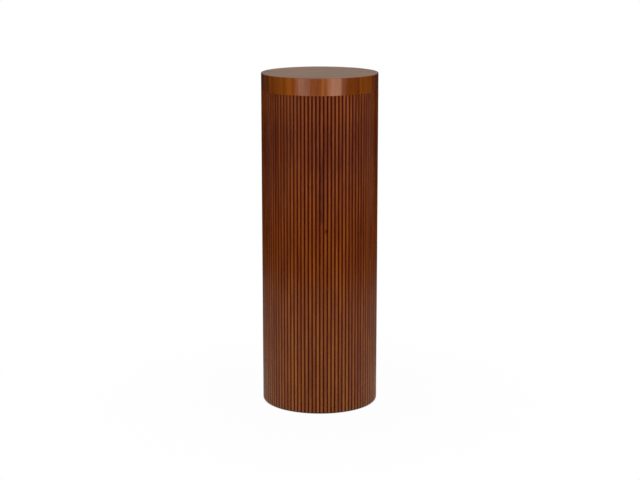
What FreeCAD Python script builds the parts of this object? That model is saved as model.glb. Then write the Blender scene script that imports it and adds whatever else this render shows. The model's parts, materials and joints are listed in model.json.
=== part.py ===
"""Reeded drum pedestal: a tall wooden column to stand a plant or an ornament on.

The drum is a cabinet maker's drum: four round formers on four posts, wrapped in two half shells of
bent plywood. Half-round slats on canvas sheets are glued round the shells, and run from just above
the floor up to a smooth round cap whose face is flush with their crests. Under the drum is an inset
panel that stands on four glides.

Millimetres. +Z is up, the front faces -Y, and the origin is the centre of the footprint, on the floor.
"""
import FreeCAD, Part
import os
from collections import namedtuple

import Sketcher

PARTS_FOLDER = "parts"

SHEET_COUNT = 4  # tambour sheets round the drum, each a quarter turn
POST_COUNT = 4  # and as many glides, under the posts, and screws in each ring
FULL_TURN = 360
SAME_SIZE = 1e-6

# Every driving size, in millimetres. The one that is a count says so.
SIZES = {
    # whole object
    "overall_height": 914.0,
    "outer_diameter": 317.5,
    "floor_gap": 3.0,  # from the floor to the ends of the slats
    "glue_line": 0.05,  # between curved faces that are glued together
    # tambour: slats on canvas
    "slats_per_sheet": 24,  # a count
    "slat_gap": 0.2,  # between the backs of two neighbours
    "slat_shoulder": 0.6,  # straight side below the half round
    "canvas_thickness": 0.6,
    "canvas_seam": 1.0,
    # drum: shells, formers and posts
    "shell_thickness": 5.0,
    "shell_seam": 0.4,
    "former_thickness": 15.0,
    "post_width": 40.0,
    "post_depth": 22.0,
    "notch_clearance": 0.1,
    # cap
    "cap_height": 46.4,
    "top_veneer_thickness": 0.6,
    "upper_core_thickness": 18.0,
    "rim_thickness": 3.0,
    "rim_round": 1.5,
    # base panel and glides
    "base_panel_thickness": 12.0,
    "base_panel_clearance": 0.3,
    "base_recess": 2.0,  # from the ends of the slats up to the panel
    "glide_diameter": 24.0,
    "glide_chamfer": 1.0,
    "glide_inset": 27.5,  # from the former's edge to the glide's middle
    # screws: an inset is from the former's edge, a cover is the wood left over the end
    "screw_clearance": 0.1,
    "screw_head_height": 2.4,
    "glide_screw_diameter": 3.5,
    "glide_screw_head": 7.0,
    "glide_screw_recess": 1.0,  # from the floor up to the head
    "glide_screw_cover": 2.0,
    "base_screw_diameter": 4.0,
    "base_screw_head": 8.0,
    "base_screw_inset": 13.5,
    "base_screw_cover": 2.0,
    "post_screw_diameter": 4.5,
    "post_screw_head": 9.0,
    "post_screw_bite": 35.0,  # length in the post
    "cap_screw_diameter": 4.0,
    "cap_screw_head": 8.0,
    "cap_screw_inset": 19.5,
    "cap_screw_cover": 7.8,
}

# Radii, from the outside in.
OUTER_RADIUS = "(Sizes.outer_diameter / 2)"
SLAT_PITCH = f"(360 deg / ({SHEET_COUNT} * Sizes.slats_per_sheet))"
HALF_PITCH_TAN = f"tan({SLAT_PITCH} / 2)"
SLAT_WIDTH = (
    f"((2 * ({OUTER_RADIUS} - Sizes.slat_shoulder) * {HALF_PITCH_TAN} - Sizes.slat_gap)"
    f" / (1 + {HALF_PITCH_TAN}))"
)
SLAT_SPRING_RADIUS = f"({OUTER_RADIUS} - {SLAT_WIDTH} / 2)"  # where the half round springs from
SLAT_BACK_RADIUS = f"({SLAT_SPRING_RADIUS} - Sizes.slat_shoulder)"
CANVAS_OUTER = f"({SLAT_BACK_RADIUS} - Sizes.glue_line)"
CANVAS_INNER = f"({CANVAS_OUTER} - Sizes.canvas_thickness)"
SHELL_OUTER = f"({CANVAS_INNER} - Sizes.glue_line)"
SHELL_INNER = f"({SHELL_OUTER} - Sizes.shell_thickness)"
FORMER_RADIUS = f"({SHELL_INNER} - Sizes.glue_line)"
PANEL_RADIUS = f"({SHELL_INNER} - Sizes.base_panel_clearance)"
POST_INNER = f"({FORMER_RADIUS} - Sizes.post_depth)"
CORE_RADIUS = f"({OUTER_RADIUS} - Sizes.rim_thickness - Sizes.glue_line)"
GLIDE_RADIUS = "(Sizes.glide_diameter / 2)"
GLIDE_CIRCLE = f"({FORMER_RADIUS} - Sizes.glide_inset)"

# Heights above the floor, from the bottom up.
SLAT_BOTTOM = "Sizes.floor_gap"
PANEL_BOTTOM = "(Sizes.floor_gap + Sizes.base_recess)"
BASE_FORMER_BOTTOM = f"({PANEL_BOTTOM} + Sizes.base_panel_thickness)"
POST_BOTTOM = f"({BASE_FORMER_BOTTOM} + Sizes.former_thickness)"
SLAT_TOP = "(Sizes.overall_height - Sizes.cap_height)"
POST_TOP = f"({SLAT_TOP} - Sizes.former_thickness)"
VENEER_BOTTOM = "(Sizes.overall_height - Sizes.top_veneer_thickness)"
UPPER_CORE_BOTTOM = f"({VENEER_BOTTOM} - Sizes.upper_core_thickness)"
SLAT_LENGTH = f"({SLAT_TOP} - {SLAT_BOTTOM})"
POST_LENGTH = f"({POST_TOP} - {POST_BOTTOM})"

# Turns about the column's axis.
FIRST_SLAT = f"(-180 deg / {SHEET_COUNT} + {SLAT_PITCH} / 2)"
AT_POSTS = "0 deg"
BETWEEN_POSTS = f"(180 deg / {POST_COUNT})"

SIDES = {"front": -90, "right": 0, "back": 90, "left": 180}

# A ring of equal pan-head screws, as many as there are posts. Kind is the start of its sizes'
# names. The tops of the heads lie at one height, and the screws run straight up, or straight down.
ScrewRing = namedtuple("ScrewRing", "name kind circle first_turn head_top length downward")

GLIDE_SCREWS = ScrewRing(
    name="glide_screws",
    kind="glide_screw",
    circle=GLIDE_CIRCLE,
    first_turn=AT_POSTS,
    head_top="Sizes.glide_screw_recess",
    length=f"({BASE_FORMER_BOTTOM} - Sizes.glide_screw_recess - Sizes.glide_screw_cover)",
    downward=False,
)
BASE_SCREWS = ScrewRing(
    name="base_panel_screws",
    kind="base_screw",
    circle=f"({FORMER_RADIUS} - Sizes.base_screw_inset)",
    first_turn=BETWEEN_POSTS,
    head_top=PANEL_BOTTOM,
    length=f"({POST_BOTTOM} - {PANEL_BOTTOM} - Sizes.base_screw_cover)",
    downward=False,
)
LOWER_POST_SCREWS = ScrewRing(
    name="post_screws_base",
    kind="post_screw",
    circle=f"({FORMER_RADIUS} - Sizes.post_depth / 2)",
    first_turn=AT_POSTS,
    head_top=BASE_FORMER_BOTTOM,
    length="(Sizes.former_thickness + Sizes.post_screw_bite)",
    downward=False,
)
UPPER_POST_SCREWS = LOWER_POST_SCREWS._replace(
    name="post_screws_top", head_top=SLAT_TOP, downward=True
)
CAP_SCREWS = ScrewRing(
    name="cap_screws",
    kind="cap_screw",
    circle=f"({FORMER_RADIUS} - Sizes.cap_screw_inset)",
    first_turn=BETWEEN_POSTS,
    head_top=POST_TOP,
    length=f"({UPPER_CORE_BOTTOM} - {POST_TOP} - Sizes.cap_screw_cover)",
    downward=False,
)


# ---------------------------------------------------------------- sketching


def value_of(owner, expression):
    """The number that an expression over the sheet gives now."""
    found = owner.evalExpression(expression)
    return float(getattr(found, "Value", found))


def origin_feature(body, role):
    return next(o for o in body.Origin.OriginFeatures if o.Role == role)


def new_body(doc, name):
    body = doc.addObject("PartDesign::Body", name)
    body.Label = name
    return body


def new_sketch(body, name, plane, x="0", y="0", z="0", downward=False):
    """A sketch on one of the body's own origin planes, moved by x, y, z in that plane's frame."""
    sketch = body.newObject("Sketcher::SketchObject", name)
    sketch.AttachmentSupport = [(origin_feature(body, plane), "")]
    sketch.MapMode = "FlatFace"
    turn = FreeCAD.Rotation(FreeCAD.Vector(1, 0, 0), 180 if downward else 0)
    sketch.AttachmentOffset = FreeCAD.Placement(FreeCAD.Vector(), turn)
    for axis, expression in (("x", x), ("y", y), ("z", z)):
        if expression != "0":
            sketch.setExpression(f"AttachmentOffset.Base.{axis}", expression)
    return sketch


def constrain(sketch, expression, kind, *where):
    """A dimension of the sketch, bound to the sheet."""
    value = value_of(sketch, expression)
    index = sketch.addConstraint(Sketcher.Constraint(kind, *where, value))
    sketch.setExpression(f"Constraints[{index}]", expression)


def pin(sketch, curve, end, x, y):
    """Holds one end of a curve at (x, y) from the sketch's origin."""
    for kind, axis, expression in (("DistanceX", -2, x), ("DistanceY", -1, y)):
        if expression == "0":
            sketch.addConstraint(Sketcher.Constraint("PointOnObject", curve, end, axis))
        else:
            constrain(sketch, expression, kind, -1, 1, curve, end)


def join(sketch, *pairs):
    """Makes curves meet. Each pair is (curve, its end, other curve, its end)."""
    for pair in pairs:
        sketch.addConstraint(Sketcher.Constraint("Coincident", *pair))


def draw_chain(sketch, points):
    """Straight lines from point to point, joined end to end."""
    corners = [FreeCAD.Vector(x, y, 0) for x, y in points]
    lines = [
        sketch.addGeometry(Part.LineSegment(start, end))
        for start, end in zip(corners, corners[1:])
    ]
    for line, following in zip(lines, lines[1:]):
        join(sketch, (line, 2, following, 1))
    return lines


def draw_polygon(sketch, corners):
    """A closed outline of straight lines through corners given as expressions."""
    points = [(value_of(sketch, x), value_of(sketch, y)) for x, y in corners]
    lines = draw_chain(sketch, points + points[:1])
    join(sketch, (lines[-1], 2, lines[0], 1))
    for line, (x, y) in zip(lines, corners):
        pin(sketch, line, 1, x, y)


def draw_circle(sketch, radius):
    """A circle about the sketch's origin."""
    size = value_of(sketch, radius)
    curve = sketch.addGeometry(Part.Circle(FreeCAD.Vector(), FreeCAD.Vector(0, 0, 1), size))
    join(sketch, (curve, 3, -1, 1))
    constrain(sketch, radius, "Radius", curve)


def draw_arc(sketch, radius, start, end):
    """An arc about the sketch's origin, counter-clockwise from one point to the other."""
    size = value_of(sketch, radius)
    circle = Part.Circle(FreeCAD.Vector(), FreeCAD.Vector(0, 0, 1), size)
    first, last = [circle.parameter(FreeCAD.Vector(*point, 0)) for point in (start, end)]
    if first > last:
        first -= circle.LastParameter
    curve = sketch.addGeometry(Part.ArcOfCircle(circle, first, last))
    join(sketch, (curve, 3, -1, 1))
    constrain(sketch, radius, "Radius", curve)
    return curve


def ring_section(inner, outer, bottom, top):
    """The corners of a ring's upright section."""
    return [(inner, bottom), (outer, bottom), (outer, top), (inner, top)]


# ----------------------------------------------------------------- features


def add_pad(body, sketch, length):
    pad = body.newObject("PartDesign::Pad", sketch.Name + "_pad")
    pad.Profile = sketch
    pad.setExpression("Length", length)
    return pad


def add_turned(body, sketch, kind="PartDesign::Revolution", angle=None):
    """Turns the sketch about its own upright axis: a whole turn, or an angle centred on it."""
    turned = body.newObject(kind, sketch.Name + "_turned")
    turned.Profile = sketch
    turned.ReferenceAxis = (sketch, ["V_Axis"])
    turned.Angle = FULL_TURN
    if angle:
        turned.Midplane = True
        turned.setExpression("Angle", angle)
    return turned


def add_pattern(body, feature, count, spacing=None):
    """Repeats a feature about the column's axis: all the way round, or at a stated spacing."""
    pattern = body.newObject("PartDesign::PolarPattern", feature.Name + "_ring")
    pattern.Originals = [feature]
    pattern.Axis = (origin_feature(body, "Z_Axis"), [""])
    pattern.Angle = FULL_TURN
    if spacing:
        pattern.Mode = "Spacing"
        pattern.setExpression("Offset", spacing)
    pattern.setExpression("Occurrences", count)
    body.Tip = pattern


def turn_about_axis(body, angle):
    """Turns a finished piece about the column's axis."""
    upright = FreeCAD.Vector(0, 0, 1)
    body.Placement = FreeCAD.Placement(FreeCAD.Vector(), FreeCAD.Rotation(upright, 1))
    body.setExpression("Placement.Rotation.Angle", angle)


def edge_name(feature, radius, height):
    """The name of the feature's round edge of that radius at that height."""
    feature.Document.recompute()
    wanted = (value_of(feature, radius), value_of(feature, height))
    for number, edge in enumerate(feature.Shape.Edges, 1):
        if isinstance(edge.Curve, Part.Circle):
            found = (edge.Curve.Radius, edge.Curve.Center.z)
            if all(abs(a - b) < SAME_SIZE for a, b in zip(wanted, found)):
                return f"Edge{number}"
    raise ValueError(f"{feature.Label} has no round edge of radius {wanted[0]}")


# ------------------------------------------------------------------- screws


def draw_screw_outline(sketch, ring, clearance):
    """Half of a pan-head screw, the top of its head on the sketch's origin, pointing along +Y."""
    head = f"(Sizes.{ring.kind}_head / 2 + {clearance})"
    shank = f"(Sizes.{ring.kind}_diameter / 2 + {clearance})"
    seat = f"(Sizes.screw_head_height + {clearance})"
    end = f"({ring.length} + {clearance})"
    corners = [("0", "0"), (head, "0"), (head, seat), (shank, seat), (shank, end), ("0", end)]
    draw_polygon(sketch, corners)


def screw_sketch(body, ring, clearance):
    """The outline of the ring's first screw, in its place."""
    sketch = new_sketch(
        body,
        f"{body.Name}_{ring.name}_outline",
        "XZ_Plane",
        x=f"{ring.circle} * cos({ring.first_turn})",
        y=ring.head_top,
        z=f"-{ring.circle} * sin({ring.first_turn})",
        downward=ring.downward,
    )
    draw_screw_outline(sketch, ring, clearance)
    return sketch


def cut_first_screw_hole(body, ring):
    """A hole with the screw's own outline, a little larger all over."""
    sketch = screw_sketch(body, ring, "Sizes.screw_clearance")
    return add_turned(body, sketch, "PartDesign::Groove")


def cut_screw_holes(body, ring):
    add_pattern(body, cut_first_screw_hole(body, ring), str(POST_COUNT))


def make_screws(doc, ring):
    """A ring of loose screws, each its own solid."""
    body = new_body(doc, ring.name)
    body.AllowCompound = True
    add_pattern(body, add_turned(body, screw_sketch(body, ring, "0")), str(POST_COUNT))
    return body


# ------------------------------------------------------------------ tambour


def draw_slat_section(sketch):
    """A flat back and two short straight sides under a half round, which faces +X."""
    half = f"{SLAT_WIDTH} / 2"
    y = value_of(sketch, half)
    spring = value_of(sketch, SLAT_SPRING_RADIUS)
    back = value_of(sketch, SLAT_BACK_RADIUS)
    corners = [(spring, y), (back, y), (back, -y), (spring, -y)]
    upper, flat_back, lower = draw_chain(sketch, corners)
    ends = [FreeCAD.Vector(spring, side * y, 0) for side in (-1, 1)]
    half_round = Part.Arc(ends[0], FreeCAD.Vector(spring + y, 0, 0), ends[1])
    crown = sketch.addGeometry(half_round)
    join(sketch, (lower, 2, crown, 1), (crown, 2, upper, 1))
    pin(sketch, upper, 1, SLAT_SPRING_RADIUS, half)
    pin(sketch, flat_back, 1, SLAT_BACK_RADIUS, half)
    pin(sketch, flat_back, 2, SLAT_BACK_RADIUS, f"-{half}")
    pin(sketch, lower, 2, SLAT_SPRING_RADIUS, f"-{half}")
    constrain(sketch, SLAT_SPRING_RADIUS, "DistanceX", -1, 1, crown, 3)


def make_slats(doc, side):
    """One sheet's half-round slats, side by side, each its own solid."""
    body = new_body(doc, f"tambour_slats_{side}")
    body.AllowCompound = True
    sketch = new_sketch(body, body.Name + "_section", "XY_Plane", z=SLAT_BOTTOM)
    draw_slat_section(sketch)
    add_pattern(body, add_pad(body, sketch, SLAT_LENGTH), "Sizes.slats_per_sheet", SLAT_PITCH)
    turn_about_axis(body, f"{SIDES[side]} deg + {FIRST_SLAT}")
    return body


def make_canvas(doc, side):
    """The cloth that one sheet's slats are glued to: a quarter of a thin tube."""
    body = new_body(doc, f"tambour_canvas_{side}")
    sketch = new_sketch(body, body.Name + "_section", "XZ_Plane")
    draw_polygon(sketch, ring_section(CANVAS_INNER, CANVAS_OUTER, SLAT_BOTTOM, SLAT_TOP))
    seam_turn = f"1 rad * Sizes.canvas_seam / {CANVAS_OUTER}"
    add_turned(body, sketch, angle=f"{FULL_TURN} deg / {SHEET_COUNT} - {seam_turn}")
    turn_about_axis(body, f"{SIDES[side]} deg")
    return body


# --------------------------------------------------------------------- drum


def make_half_shell(doc, side):
    """Half of the bent plywood drum. The two halves meet over the front and back posts."""
    body = new_body(doc, f"drum_shell_{side}")
    sketch = new_sketch(body, body.Name + "_section", "XY_Plane", z=SLAT_BOTTOM)
    seam = "Sizes.shell_seam / 2"
    x = value_of(sketch, seam)
    outer_y, inner_y = [value_of(sketch, radius) for radius in (SHELL_OUTER, SHELL_INNER)]
    outer = draw_arc(sketch, SHELL_OUTER, (x, -outer_y), (x, outer_y))
    inner = draw_arc(sketch, SHELL_INNER, (x, -inner_y), (x, inner_y))
    for arc in (outer, inner):
        constrain(sketch, seam, "DistanceX", -1, 1, arc, 1)
        constrain(sketch, seam, "DistanceX", -1, 1, arc, 2)
    for end, turn in ((1, -1), (2, 1)):
        edge = draw_chain(sketch, [(x, turn * outer_y), (x, turn * inner_y)])[0]
        join(sketch, (outer, end, edge, 1), (inner, end, edge, 2))
    add_pad(body, sketch, SLAT_LENGTH)
    turn_about_axis(body, f"{SIDES[side]} deg")
    return body


def make_round_board(doc, name, radius, thickness, bottom):
    """A disc sawn from a sheet: a former, a panel, a layer of the cap or its top veneer."""
    body = new_body(doc, name)
    sketch = new_sketch(body, name + "_outline", "XY_Plane", z=bottom)
    draw_circle(sketch, radius)
    add_pad(body, sketch, thickness)
    return body


def make_former(doc, name, bottom):
    """A round that holds the shells to their curve."""
    return make_round_board(doc, name, FORMER_RADIUS, "Sizes.former_thickness", bottom)


def make_middle_former(doc, name, thirds):
    """A former some thirds of the way up the posts, notched where they run past it."""
    bottom = f"({POST_BOTTOM} + ({POST_LENGTH} - Sizes.former_thickness) * {thirds} / 3)"
    body = make_former(doc, name, bottom)
    sketch = new_sketch(body, name + "_notch", "XY_Plane", z=bottom)
    inner = f"({POST_INNER} - Sizes.notch_clearance)"
    outer = f"({FORMER_RADIUS} + Sizes.shell_thickness)"
    half = "(Sizes.post_width / 2 + Sizes.notch_clearance)"
    draw_polygon(sketch, ring_section(inner, outer, f"-{half}", half))
    notch = body.newObject("PartDesign::Pocket", sketch.Name + "_cut")
    notch.Profile = sketch
    notch.Reversed = True
    notch.setExpression("Length", "Sizes.former_thickness")
    add_pattern(body, notch, str(POST_COUNT))
    return body


def make_post(doc, side):
    """An upright batten, its outer face planed to the drum's curve, screwed at both ends."""
    body = new_body(doc, f"post_{side}")
    sketch = new_sketch(body, body.Name + "_section", "XY_Plane", z=POST_BOTTOM)
    half = "Sizes.post_width / 2"
    y = value_of(sketch, half)
    inner = value_of(sketch, POST_INNER)
    outer = (value_of(sketch, FORMER_RADIUS) ** 2 - y**2) ** 0.5
    face = draw_arc(sketch, FORMER_RADIUS, (outer, -y), (outer, y))
    constrain(sketch, f"-{half}", "DistanceY", -1, 1, face, 1)
    constrain(sketch, half, "DistanceY", -1, 1, face, 2)
    upper, back, lower = draw_chain(sketch, [(outer, y), (inner, y), (inner, -y), (outer, -y)])
    join(sketch, (face, 2, upper, 1), (lower, 2, face, 1))
    pin(sketch, back, 1, POST_INNER, half)
    pin(sketch, back, 2, POST_INNER, f"-{half}")
    add_pad(body, sketch, POST_LENGTH)
    cut_first_screw_hole(body, LOWER_POST_SCREWS)
    cut_first_screw_hole(body, UPPER_POST_SCREWS)
    turn_about_axis(body, f"{SIDES[side]} deg")
    return body


def make_drum(doc):
    """The hidden frame: formers, posts and the shells round them."""
    base = make_former(doc, "former_base", BASE_FORMER_BOTTOM)
    cut_screw_holes(base, LOWER_POST_SCREWS)
    cut_screw_holes(base, BASE_SCREWS)
    top = make_former(doc, "former_top", POST_TOP)
    cut_screw_holes(top, UPPER_POST_SCREWS)
    cut_screw_holes(top, CAP_SCREWS)
    middles = [
        make_middle_former(doc, "former_lower_middle", thirds=1),
        make_middle_former(doc, "former_upper_middle", thirds=2),
    ]
    posts = [make_post(doc, side) for side in SIDES]
    shells = [make_half_shell(doc, side) for side in ("right", "left")]
    return [base, top, *middles, *posts, *shells]


# ---------------------------------------------------------------------- cap


def make_rim_band(doc):
    """The smooth hoop round the cap, rounded along its top edge."""
    body = new_body(doc, "cap_rim_band")
    sketch = new_sketch(body, "rim_outline", "XY_Plane", z=SLAT_TOP)
    draw_circle(sketch, OUTER_RADIUS)
    draw_circle(sketch, f"({OUTER_RADIUS} - Sizes.rim_thickness)")
    hoop = add_pad(body, sketch, "Sizes.cap_height")
    rounding = body.newObject("PartDesign::Fillet", "rim_rounding")
    rounding.Base = (hoop, [edge_name(hoop, OUTER_RADIUS, "Sizes.overall_height")])
    rounding.setExpression("Radius", "Sizes.rim_round")
    return body


def make_cap(doc):
    """Two layers of core and a leaf of veneer, inside the hoop."""
    veneer_thickness = "Sizes.top_veneer_thickness"
    core_thickness = "Sizes.upper_core_thickness"
    spacer_thickness = f"({UPPER_CORE_BOTTOM} - {SLAT_TOP})"
    lower = make_round_board(doc, "cap_lower_core", CORE_RADIUS, spacer_thickness, SLAT_TOP)
    cut_screw_holes(lower, CAP_SCREWS)
    upper = make_round_board(doc, "cap_upper_core", CORE_RADIUS, core_thickness, UPPER_CORE_BOTTOM)
    veneer = make_round_board(doc, "cap_top_veneer", CORE_RADIUS, veneer_thickness, VENEER_BOTTOM)
    return [lower, upper, veneer, make_rim_band(doc)]


# --------------------------------------------------------------------- base


def make_base_panel(doc):
    """The inset panel that closes the drum from below."""
    thickness = "Sizes.base_panel_thickness"
    body = make_round_board(doc, "base_panel", PANEL_RADIUS, thickness, PANEL_BOTTOM)
    cut_screw_holes(body, BASE_SCREWS)
    cut_screw_holes(body, GLIDE_SCREWS)
    return body


def make_glide(doc, side):
    """A round foot with a chamfered sole, bored for its screw and counterbored for the head."""
    body = new_body(doc, f"glide_{side}")
    foot = new_sketch(body, body.Name + "_section", "XZ_Plane")
    bore = "(Sizes.glide_screw_diameter / 2 + Sizes.screw_clearance)"
    counterbore = "(Sizes.glide_screw_head / 2 + Sizes.screw_clearance)"
    seat = "(Sizes.glide_screw_recess + Sizes.screw_head_height + Sizes.screw_clearance)"
    corners = [
        (counterbore, "0"),
        (f"({GLIDE_RADIUS} - Sizes.glide_chamfer)", "0"),
        (GLIDE_RADIUS, "Sizes.glide_chamfer"),
        (GLIDE_RADIUS, PANEL_BOTTOM),
        (bore, PANEL_BOTTOM),
        (bore, seat),
        (counterbore, seat),
    ]
    draw_polygon(foot, corners)
    add_turned(body, foot)
    body.setExpression("Placement.Base.x", f"{GLIDE_CIRCLE} * cos({SIDES[side]} deg)")
    body.setExpression("Placement.Base.y", f"{GLIDE_CIRCLE} * sin({SIDES[side]} deg)")
    return body


# ----------------------------------------------------------------- assembly


def make_sheet(doc):
    """The spreadsheet that every feature reads its sizes from."""
    sheet = doc.addObject("Spreadsheet::Sheet", "Sizes")
    for row, (alias, value) in enumerate(SIZES.items(), 1):
        sheet.set(f"A{row}", alias)
        sheet.set(f"B{row}", str(value))
        sheet.setAlias(f"B{row}", alias)
    doc.recompute()


def make_pedestal(doc):
    """Every piece of the pedestal."""
    glides = [make_glide(doc, side) for side in SIDES]
    canvases = [make_canvas(doc, side) for side in SIDES]
    slats = [make_slats(doc, side) for side in SIDES]
    rings = (GLIDE_SCREWS, BASE_SCREWS, LOWER_POST_SCREWS, UPPER_POST_SCREWS, CAP_SCREWS)
    screws = [make_screws(doc, ring) for ring in rings]
    return [*glides, make_base_panel(doc), *make_drum(doc), *canvases, *slats, *make_cap(doc), *screws]


def check(doc, pieces):
    """Stops before anything is written if a feature or a piece is broken."""
    doc.recompute()
    for feature in doc.Objects:
        if {"Invalid", "Error"} & set(feature.State):
            raise ValueError(f"{feature.Label} failed: {feature.State}")
    for piece in pieces:
        if piece.Shape.isNull() or not piece.Shape.isValid() or not piece.Shape.Solids:
            raise ValueError(f"{piece.Label} has no valid solid")


def main():
    doc = FreeCAD.newDocument("pedestal")
    make_sheet(doc)
    pieces = make_pedestal(doc)
    check(doc, pieces)
    os.makedirs(PARTS_FOLDER, exist_ok=True)
    for piece in pieces:
        piece.Shape.exportStep(os.path.join(PARTS_FOLDER, piece.Label + ".step"))
        print(f"{piece.Label}: {len(piece.Shape.Solids)} solid(s), {piece.Shape.Volume:.1f} mm3")


main()
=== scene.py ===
"""The looks of the reeded drum pedestal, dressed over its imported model.

Metres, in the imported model's frame: +Z up, the front faces -Y, and the origin is on the floor under
the middle of the column.
"""
import json
import math
from collections import namedtuple

import bmesh
import bpy
from mathutils import Matrix, Vector


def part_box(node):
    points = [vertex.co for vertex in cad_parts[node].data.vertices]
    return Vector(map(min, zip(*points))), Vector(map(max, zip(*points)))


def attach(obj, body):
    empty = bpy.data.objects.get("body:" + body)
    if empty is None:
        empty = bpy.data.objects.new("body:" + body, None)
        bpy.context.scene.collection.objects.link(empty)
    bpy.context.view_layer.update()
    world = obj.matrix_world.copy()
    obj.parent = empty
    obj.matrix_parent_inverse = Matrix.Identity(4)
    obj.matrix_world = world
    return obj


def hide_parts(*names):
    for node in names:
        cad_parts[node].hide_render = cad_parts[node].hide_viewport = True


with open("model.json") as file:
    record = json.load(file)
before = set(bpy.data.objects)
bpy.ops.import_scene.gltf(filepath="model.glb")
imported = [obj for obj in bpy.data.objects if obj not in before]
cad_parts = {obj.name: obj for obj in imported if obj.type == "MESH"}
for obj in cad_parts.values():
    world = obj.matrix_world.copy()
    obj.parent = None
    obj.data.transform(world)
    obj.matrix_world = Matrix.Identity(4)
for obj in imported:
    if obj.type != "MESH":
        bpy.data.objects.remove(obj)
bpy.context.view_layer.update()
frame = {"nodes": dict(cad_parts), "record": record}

MM = 0.001
FULL_TURN = 2 * math.pi
UP = Vector((0, 0, 1))
CENTRE = Vector((0, 0, 0))
SIDES = {"front": -90, "right": 0, "back": 90, "left": 180}
WELD = 0.001 * MM  # points nearer than this are one

# The column, read from the frame.
BAND_LOW, BAND_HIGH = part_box("cap_rim_band")
RADIUS = BAND_HIGH.x
CAP_BOTTOM = BAND_LOW.z
HEIGHT = BAND_HIGH.z
SLAT_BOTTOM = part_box("tambour_slats_front")[0].z
CANVAS_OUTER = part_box("tambour_canvas_right")[1].x
TOP_LOW, TOP_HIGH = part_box("cap_top_veneer")

# The half-round slats.
SHEET_COUNT = 4
SLATS_PER_SHEET = 24
SLAT_PITCH = FULL_TURN / (SHEET_COUNT * SLATS_PER_SHEET)
SLAT_GAP = 0.2 * MM
SLAT_SHOULDER = 0.6 * MM
SLAT_EASING = 0.35 * MM  # the sawn ends are sanded this much
SLAT_ROUND_SIDES = 26  # sides of the whole rod that a slat is cut from

# Canvas, rim band and top.
CANVAS_THICKNESS = 0.6 * MM
CANVAS_SEAM = 1.0 * MM
CANVAS_STEPS = 24
BAND_THICKNESS = 3.0 * MM
BAND_ROUND = 1.5 * MM
BAND_ROUND_STEPS = 5
JOINT_EASING = 0.25 * MM
ROUND_STEPS = 192

# Feet.
FOOT_STEPS = 48
FOOT_CHAMFER = 1.0 * MM
FOOT_BORE = 1.85 * MM
FOOT_COUNTERBORE = 3.6 * MM
FOOT_SEAT = 3.5 * MM
FOOT_EASING = 0.3 * MM
FOOT_EASING_STEPS = 2

# A ring of four pan-head screws: its node, the turn of the first one, and the diameters.
ScrewRing = namedtuple("ScrewRing", "node first_turn head shank downward")
SCREW_RINGS = (
    ScrewRing("glide_screws", 0, 7.0 * MM, 3.5 * MM, False),
    ScrewRing("base_panel_screws", 45, 8.0 * MM, 4.0 * MM, False),
    ScrewRing("post_screws_base", 0, 9.0 * MM, 4.5 * MM, False),
    ScrewRing("post_screws_top", 0, 9.0 * MM, 4.5 * MM, True),
    ScrewRing("cap_screws", 45, 8.0 * MM, 4.0 * MM, False),
)
SCREWS_IN_RING = 4
SCREW_CREASE = 30  # degrees

# A screw's head. Widths are shares of its radius, and depths of its height, from its top down.
HEAD_HEIGHT = 2.4 * MM
HEAD_SIDES = 24
CROSS_ARM = 0.14  # half of the width of an arm
CROSS_REACH = 0.52
CROSS_DEPTH = 0.6
CROSS_TAPER = 0.6  # the recess's floor is this much smaller
HEAD_FLAT = (0.62, 0.06)
HEAD_DOME = ((0.86, 0.2), (0.97, 0.45), (1, 0.75), (1, 1))

# A screw's thread.
THREAD_STEPS = 12  # to one turn
THREAD_PITCH = 0.45  # share of the shank's diameter
THREAD_DEPTH = 0.2  # share of the shank's diameter
THREAD_HALF = 0.3  # half of the ridge's foot, as a share of the pitch
THREAD_SINK = 0.96  # the ridge's foot is this share of the core's radius
BARE_SHANK = 0.25  # share of the screw's length, from the head's top, that has no thread
TIP_LENGTH = 1.6  # in shank diameters
TIP_RADIUS = 0.05 * MM


# ------------------------------------------------------------------- pieces


def finish_piece(name, mesh_work, finish, replaces, crease=40):
    """Turns mesh work into a piece of the object, in its place, and gives it its finish."""
    bmesh.ops.recalc_face_normals(mesh_work, faces=mesh_work.faces)
    mesh = bpy.data.meshes.new(name)
    mesh_work.to_mesh(mesh)
    mesh_work.free()
    mesh.shade_smooth()
    mesh.set_sharp_from_angle(angle=math.radians(crease))
    piece = bpy.data.objects.new(name, mesh)
    bpy.context.scene.collection.objects.link(piece)
    mesh.materials.append(FINISHES[finish])
    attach(piece, "root")
    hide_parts(*replaces)
    return piece


def turned(work, outline, steps, angle=FULL_TURN):
    """Spins an outline of (radius, height) points about the upright axis."""
    points = [work.verts.new((radius, 0, height)) for radius, height in outline]
    lines = [work.edges.new(pair) for pair in zip(points, points[1:])]
    bmesh.ops.spin(
        work,
        geom=points + lines,
        cent=CENTRE,
        axis=UP,
        angle=angle,
        steps=steps,
        use_merge=angle == FULL_TURN,
    )
    bmesh.ops.remove_doubles(work, verts=work.verts, dist=WELD)


def turn_by(work, angle):
    """Turns all of the work about the column's axis."""
    turn = Matrix.Rotation(angle, 3, "Z")
    bmesh.ops.rotate(work, verts=work.verts, cent=CENTRE, matrix=turn)


def ring_edges(work, radius, height, near=0.05 * MM):
    """The edges that run round the axis at a radius and a height."""
    def on_ring(vert):
        reach = math.hypot(vert.co.x, vert.co.y)
        return abs(reach - radius) < near and abs(vert.co.z - height) < near

    return [edge for edge in work.edges if all(on_ring(vert) for vert in edge.verts)]


def ease(work, edges, offset, segments=1):
    """Rounds or chamfers edges."""
    bmesh.ops.bevel(
        work, geom=edges, offset=offset, segments=segments, profile=0.5, affect="EDGES", material=-1
    )


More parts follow.
